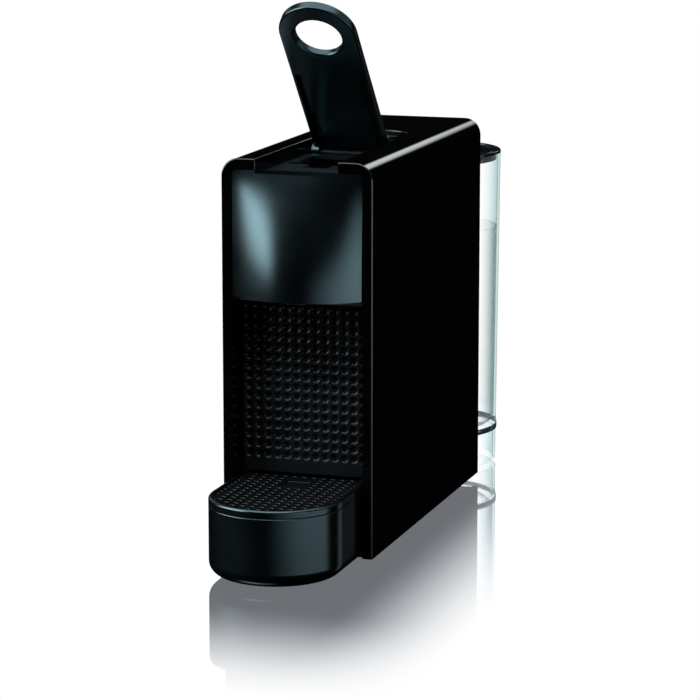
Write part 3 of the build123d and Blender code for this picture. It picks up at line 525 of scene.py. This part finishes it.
def make_container():
    """Dimpled front and plain body of the capsule container."""
    x0, x1 = BIN_LOW[0], BIN_HIGH[0]
    z0, z1 = BIN_LOW[2], BIN_HIGH[2]
    front = BIN_LOW[1]
    columns, rows = DIMPLES
    middle, soft = DIMPLE_MIDDLE, FRONT_EDGE
    b = recess_field(columns, rows, DIMPLE_R, DIMPLE_LIP, DIMPLE_DEPTH, FRONT_THICK)
    half_x, half_y = columns * PITCH / 2, rows * PITCH / 2
    push_side(b, 0, -half_x, x0 + soft)
    push_side(b, 0, half_x, x1 - soft)
    push_side(b, 1, -half_y, z0 - middle + soft)
    push_side(b, 1, half_y, z1 - middle - 0.2)
    close_back(b, x0, x1, z0 - middle, z1 - middle - 0.2 + soft, soft, FRONT_THICK)
    for v in b.verts:
        v.co = Vector((v.co.x, front - v.co.z, v.co.y + middle))
    piece("container_front", b, wall_black, "drawer", ("capsule_container",), 50)

    y0, y1 = front + FRONT_THICK - 0.05, BIN_HIGH[1]
    wall = BIN_WALL
    b = box_mesh(x0, x1, y0, y1, z0, z1, 1.0, 3)
    body = piece("container_body", b, wall_black, "drawer")
    cut(body, box_mesh(x0 + wall, x1 - wall, y0 + 0.4, y1 - wall, z0 + wall, z1 + 4, 0.8, 2), sharp=40)


# ---------------------------------------------------------------- drip grid
HOLES = (15, 17)         # columns and rows, before the round front is cut
HOLE_R = 1.55
HOLE_LIP = 0.45
HOLE_MARGIN = 3.2        # rear edge to the last row
HOLD_COLUMNS = (6, 7, 8)     # cells without a hole, under the finger hold
HOLD_ROWS = (2, 3, 4, 5)     # these are counted from the rear edge
HOLD_HALF_X = 6.4
HOLD_HALF_Y = 6.5
HOLD_DEPTH = 1.0
BORDER_WIDTH = 0.9
BORDER_SECTION = ((0, -1.3), (0, 0.02), (0.12, 0.14), (0.4, 0.2), (0.75, 0.12), (0.9, -0.1), (0.9, -1.3))


def tray_outline(half, round_y, rear, steps=64):
    """Straight sides and a round front, from the rear left corner round to the rear right one."""
    points = [(-half, rear)]
    points += [(-half * math.cos(math.pi * i / steps), round_y - half * math.sin(math.pi * i / steps))
               for i in range(steps + 1)]
    points.append((half, rear))
    return points


def prism(points, z0, z1):
    b = bmesh.new()
    low = [b.verts.new((x, y, z0)) for x, y in points]
    high = [b.verts.new((x, y, z1)) for x, y in points]
    b.faces.new(low)
    b.faces.new(high)
    for i in range(len(points)):
        k = (i + 1) % len(points)
        b.faces.new((low[i], low[k], high[k], high[i]))
    return b


def make_grid():
    """Pierced plate with a finger hold, and the raised border round it."""
    half = GRID_HIGH[0]
    round_y = GRID_LOW[1] + half
    rear, top, bottom = GRID_HIGH[1], GRID_HIGH[2], GRID_LOW[2]
    columns, rows = HOLES
    first = rear - HOLE_MARGIN - (rows - 1) * PITCH
    closed = {(column, rows - row) for column in HOLD_COLUMNS for row in HOLD_ROWS}
    b = recess_field(columns, rows, HOLE_R, HOLE_LIP, 1.0, top - bottom, through=True, plain=closed)
    middle = first + (rows - 1) / 2 * PITCH
    edges = [e for e in b.edges if e.is_boundary]
    bmesh.ops.bridge_loops(b, edges=edges)
    for v in b.verts:
        v.co = Vector((v.co.x, v.co.y + middle, v.co.z + top))
    grid = piece("drip_grid_plate", b, grid_black, "grid", ("drip_grid",), 50)
    cut(grid, prism(tray_outline(half, round_y, rear), bottom - 1, top + 1), "INTERSECT")
    hold_y = first + (rows - 3.5) * PITCH
    hold = box_mesh(-HOLD_HALF_X, HOLD_HALF_X, hold_y - HOLD_HALF_Y, hold_y + HOLD_HALF_Y,
                    top - HOLD_DEPTH, top + 3, 0.3, 2)
    cut(grid, hold, sharp=50)

    outer = tray_outline(half, round_y, rear)
    inner = tray_outline(half - BORDER_WIDTH, round_y, rear)
    b = bmesh.new()
    loops = []
    for (ox, oy), (ix, iy) in zip(outer, inner):
        loops.append([b.verts.new((ox + (ix - ox) * u / BORDER_WIDTH,
                                   oy + (iy - oy) * u / BORDER_WIDTH, top + w))
                      for u, w in BORDER_SECTION])
    for here, there in zip(loops, loops[1:]):
        for j in range(len(BORDER_SECTION)):
            k = (j + 1) % len(BORDER_SECTION)
            b.faces.new((here[j], here[k], there[k], there[j]))
    b.faces.new(loops[0])
    b.faces.new(loops[-1])
    piece("drip_grid_border", b, satin_black, "grid", sharp=50)


# ---------------------------------------------------------------- tank, water and trim
TANK_R_BOTTOM = 37.7
TANK_WALL = 1.8
TANK_FLOOR = 21.0        # underside of the tank's floor
TANK_SOLE = 23.4         # its upper side
TONGUE_HALF = 16.5       # way through the skirt for the dock's tongue
WATER_LEVEL = 137.4
WATER_GAP = 0.04
TURNS = 160              # points round the tank


def tank_radius(z):
    return TANK_R_BOTTOM + (TANK_R - TANK_R_BOTTOM) * (z - TANK_BOTTOM) / (TANK_TOP - TANK_BOTTOM)


def make_tank():
    """Clear shell, the water in it, and the dark band round its foot."""
    wall, gap, level = TANK_WALL, WATER_GAP, WATER_LEVEL
    low, high, floor_z, sole = TANK_BOTTOM, TANK_TOP, TANK_FLOOR, TANK_SOLE
    outside = [(tank_radius(low) - 0.35, low), (tank_radius(low), low + 0.4)]
    outside += [(tank_radius(z), z) for z in (low + 1.4, 20, 60, 100, 140, high - 1.5, high - 0.5)]
    outside += [(tank_radius(high) - 0.15, high - 0.15), (tank_radius(high) - 0.5, high)]
    inside = [(tank_radius(high) - wall + 0.3, high), (tank_radius(high) - wall, high - 0.4)]
    inside += [(tank_radius(z) - wall, z) for z in (high - 1.4, 140, 100, 60, 30, 28)]
    inside += [(tank_radius(27) - wall - 0.4, 27.0), (tank_radius(27) - wall - 1.5, 24.9),
               (tank_radius(27) - wall - 3.4, sole), (8.0, sole), (8.0, floor_z),
               (tank_radius(floor_z) - wall - 0.8, floor_z), (tank_radius(floor_z) - wall, floor_z - 0.8),
               (tank_radius(low) - wall, low + 0.4), (tank_radius(low) - wall + 0.35, low)]
    tank = piece("tank_shell", lathe(outside + inside, TANK_AT, TURNS), clear_plastic, "tank",
                 ("water_tank",), 40)
    tongue_way = box_mesh(-TONGUE_HALF, TONGUE_HALF, TANK_AT[1] - 60, TANK_AT[1], low - 2, floor_z - 0.2)
    cut(tank, tongue_way, sharp=40)

    bed = [(0.0, sole + gap), (tank_radius(27) - wall - 3.4, sole + gap),
           (tank_radius(27) - wall - 1.5, 24.9 + gap), (tank_radius(27) - wall - 0.4 - gap, 27.0)]
    water_side = [(tank_radius(z) - wall - gap, z) for z in (28, 30, 60, 100, level - 0.6, level + 0.35)]
    surface = [(tank_radius(level) - wall - 0.5, level + 0.08),
               (tank_radius(level) - wall - 1.6, level), (0.0, level)]
    water = lathe(bed + water_side + surface, TANK_AT, TURNS)
    piece("tank_water", water, water_clear, "tank", sharp=40)

    r = tank_radius(22)
    band = [(r + 0.03, 20.2), (r + 0.3, 20.25), (r + 0.42, 20.6),
            (r + 0.42, 23.0), (r + 0.3, 23.35), (r + 0.03, 23.4)]
    piece("tank_band", lathe(band, TANK_AT, TURNS), band_smoke, "tank", sharp=40)


def make_lid():
    """Lid with a soft rim, a sunk middle and a skirt inside the tank wall."""
    low, high = LID_LOW[2], LID_HIGH[2]
    r = LID_HIGH[0]
    skirt, sunk = r - 2.4, r - 2.2       # outer radius of the skirt, radius of the sunk middle
    seat = TANK_TOP + 0.04
    inside = [(0.0, seat - 0.8), (skirt - 1.8, seat - 0.8), (skirt - 1.8, low + 0.2), (skirt - 1.6, low)]
    outside = [(skirt - 0.25, low), (skirt - 0.07, low + 0.07), (skirt, low + 0.25), (skirt, seat)]
    rim = [(r - 0.2, seat), (r - 0.05, seat + 0.06), (r, seat + 0.2), (r, high - 0.8),
           (r - 0.06, high - 0.5), (r - 0.23, high - 0.23), (r - 0.5, high - 0.06), (r - 0.8, high)]
    step = [(sunk + 0.3, high), (sunk + 0.1, high - 0.05), (sunk, high - 0.2), (sunk, high - 0.45),
            (sunk - 0.1, high - 0.64), (sunk - 0.3, high - 0.7)]
    bead = [(sunk - 1.6, high - 0.7), (sunk - 1.8, high - 0.55), (sunk - 2.1, high - 0.5),
            (sunk - 2.4, high - 0.55), (sunk - 2.6, high - 0.7), (0.0, high - 0.7)]
    profile = inside + outside + rim + step + bead
    lid = piece("tank_lid_cap", lathe(profile, TANK_AT, TURNS), smoke_lid, "tank_lid",
                ("tank_lid",), 30)
    lid.data.materials.append(skirt_black)
    for face in lid.data.polygons:
        face.material_index = int(face.center.z < TANK_TOP * MM)


# ---------------------------------------------------------------- button icons
DISH_R = 44.0            # hollow face of the buttons
DISH_CENTRE_Z = 246.0
ICON_LINE = 0.17         # half thickness of the lines
ICONS = (("small_cup_button", 1.9, 2.6), ("large_cup_button", 2.2, 4.4))    # node, cup's half width, height


def make_icons():
    """Line drawing of a cup on each button: the cup, its handle and its saucer."""
    for node, cup, tall in ICONS:
        low, high = box_mm(node)
        cx, cy = (low[0] + high[0]) / 2, (low[1] + high[1]) / 2
        strokes = [
            [(-cup, tall / 2), (-cup * 0.86, -tall / 2 + 0.5), (-cup * 0.6, -tall / 2),
             (cup * 0.6, -tall / 2), (cup * 0.86, -tall / 2 + 0.5), (cup, tall / 2), (-cup, tall / 2)],
            [(cup * 0.98, tall / 2 - 0.5), (cup + 0.9, tall / 2 - 0.45), (cup + 1.2, tall / 2 - 1.1),
             (cup + 0.75, tall / 2 - 1.75), (cup * 0.92, tall / 2 - 1.8)],
            [(-cup - 0.9, -tall / 2 - 0.9), (cup + 0.9, -tall / 2 - 0.9)],
        ]
        data = bpy.data.curves.new(node + "_icon", "CURVE")
        data.dimensions = "3D"
        data.bevel_depth = ICON_LINE * MM
        data.bevel_resolution = 2
        data.use_fill_caps = True
        for stroke in strokes:
            line = data.splines.new("POLY")
            line.points.add(len(stroke) - 1)
            for point, (u, v) in zip(line.points, stroke):
                z = DISH_CENTRE_Z - math.sqrt(DISH_R ** 2 - u * u - v * v) + 0.02
                point.co = ((cx + u) * MM, (cy + v) * MM, z * MM, 1)
        data.materials.append(icon_white)
        icon = bpy.data.objects.new(node + "_icon", data)
        bpy.context.scene.collection.objects.link(icon)
        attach(icon, "small_button" if node.startswith("small") else "large_button")


# ---------------------------------------------------------------- rear screws
SCREW_R = 3.0
SCREW_HEAD = 1.2


def make_screws():
    """Cross-slotted screws of the rear cover, each turned a little differently."""
    low, high = box_mm("cover_screws")
    face = high[1] - SCREW_HEAD
    places = [(x, z) for z in (low[2] + SCREW_R, high[2] - SCREW_R)
              for x in (low[0] + SCREW_R, high[0] - SCREW_R)]
    for i, (x, z) in enumerate(places):
        profile = [(0, -8), (1.4, -8), (1.5, 0), (2.9, 0), (3.0, 0.25), (2.7, 0.7), (2.0, 1.0), (0.0, 1.15)]
        b = lathe(profile, (0, 0), 40)
        turn = Matrix.Rotation(math.radians(-90), 4, "X")
        bmesh.ops.transform(b, matrix=Matrix.Translation((x, face, z)) @ turn, verts=b.verts)
        screw = piece(f"cover_screw_{i}", b, zinc, "casing", ("cover_screws",), 30)
        for angle in (20, 110):
            tool = box_mesh(-1.7, 1.7, -0.32, 0.32, 0.35, 2.0)
            spin = Matrix.Rotation(math.radians(angle + 25 * i), 4, "Z")
            matrix = Matrix.Translation((x, face, z)) @ turn @ spin
            bmesh.ops.transform(tool, matrix=matrix, verts=tool.verts)
            cut(screw, tool)


make_container()
make_grid()
make_tank()
make_lid()
make_icons()
make_screws()


# ---------------------------------------------------------------- floor and its own light
FLOOR_R = 6.0                        # metres, as are the next five
FOOT_HALF_X = 0.0395                 # the machine's footprint
FOOT_HALF_Y = 0.165
FOOT_MIDDLE_Y = 0.005
FADE_BESIDE = (0.008, 0.082)         # where the polish fades, beside the footprint
FADE_BEFORE = (0.03, 0.175)          # and in front of and behind it
POLISH = 0.85
FLOOR_STRENGTH = 1.005
PAINTED_MIRROR_CAST = (1.0, 1.06, 1.16)    # cool cast painted into the floor's glow where it is polished, a painted tint of the mirror image
MIRRORED_SKY = 1.1


def make_floor():
    """Pale floor whose polish fades away from the machine."""
    mesh = bpy.data.meshes.new("floor")
    b = bmesh.new()
    bmesh.ops.create_circle(b, cap_ends=True, segments=96, radius=FLOOR_R)
    b.to_mesh(mesh)
    b.free()
    made = bpy.data.objects.new("floor", mesh)
    bpy.context.scene.collection.objects.link(made)
    material = bpy.data.materials.new("pale_floor")
    material.use_nodes = True
    material.node_tree.nodes.clear()
    t = Tree(material.node_tree)
    split = t.node("ShaderNodeSeparateXYZ")
    t.join(t.node("ShaderNodeTexCoord").outputs["Object"], split.inputs[0])
    beside = t.maths("SUBTRACT", t.maths("ABSOLUTE", split.outputs[0]), FOOT_HALF_X)
    along = t.maths("ABSOLUTE", t.maths("SUBTRACT", split.outputs[1], FOOT_MIDDLE_Y))
    before = t.maths("SUBTRACT", along, FOOT_HALF_Y)
    share = t.maths("MULTIPLY", t.ramp(beside, *FADE_BESIDE, POLISH, 0.0),
                    t.ramp(before, *FADE_BEFORE, 1.0, 0.0))
    plain = t.node("ShaderNodeEmission")
    # painted reflection tint: the floor's glow turns cool where the polish is
    t.join(t.blend(share, rgba(1, 1, 1), rgba(*PAINTED_MIRROR_CAST)), plain.inputs["Color"])
    plain.inputs["Strength"].default_value = FLOOR_STRENGTH
    polish = t.node("ShaderNodeBsdfGlossy")
    polish.inputs["Color"].default_value = rgba(1, 1, 1)
    polish.inputs["Roughness"].default_value = 0.04
    mixed = t.node("ShaderNodeMixShader")
    t.join(share, mixed.inputs[0])
    t.join(plain.outputs[0], mixed.inputs[1])
    t.join(polish.outputs[0], mixed.inputs[2])
    out = t.node("ShaderNodeOutputMaterial")
    t.join(mixed.outputs[0], out.inputs[0])
    material.cycles.emission_sampling = "NONE"
    mesh.materials.append(material)
    made.visible_glossy = False
    made.visible_diffuse = False
    return made


floor = make_floor()
receivers = bpy.data.collections.new("floor_only")
receivers.objects.link(floor)
# all-round white that only the floor's polish mirrors
light = bpy.data.lights.new("mirrored_sky", "SUN")
light.angle = math.pi
light.energy = math.pi * MIRRORED_SKY
sky = bpy.data.objects.new("mirrored_sky", light)
bpy.context.scene.collection.objects.link(sky)
sky.visible_camera = False
sky.visible_diffuse = False
sky.light_linking.receiver_collection = receivers
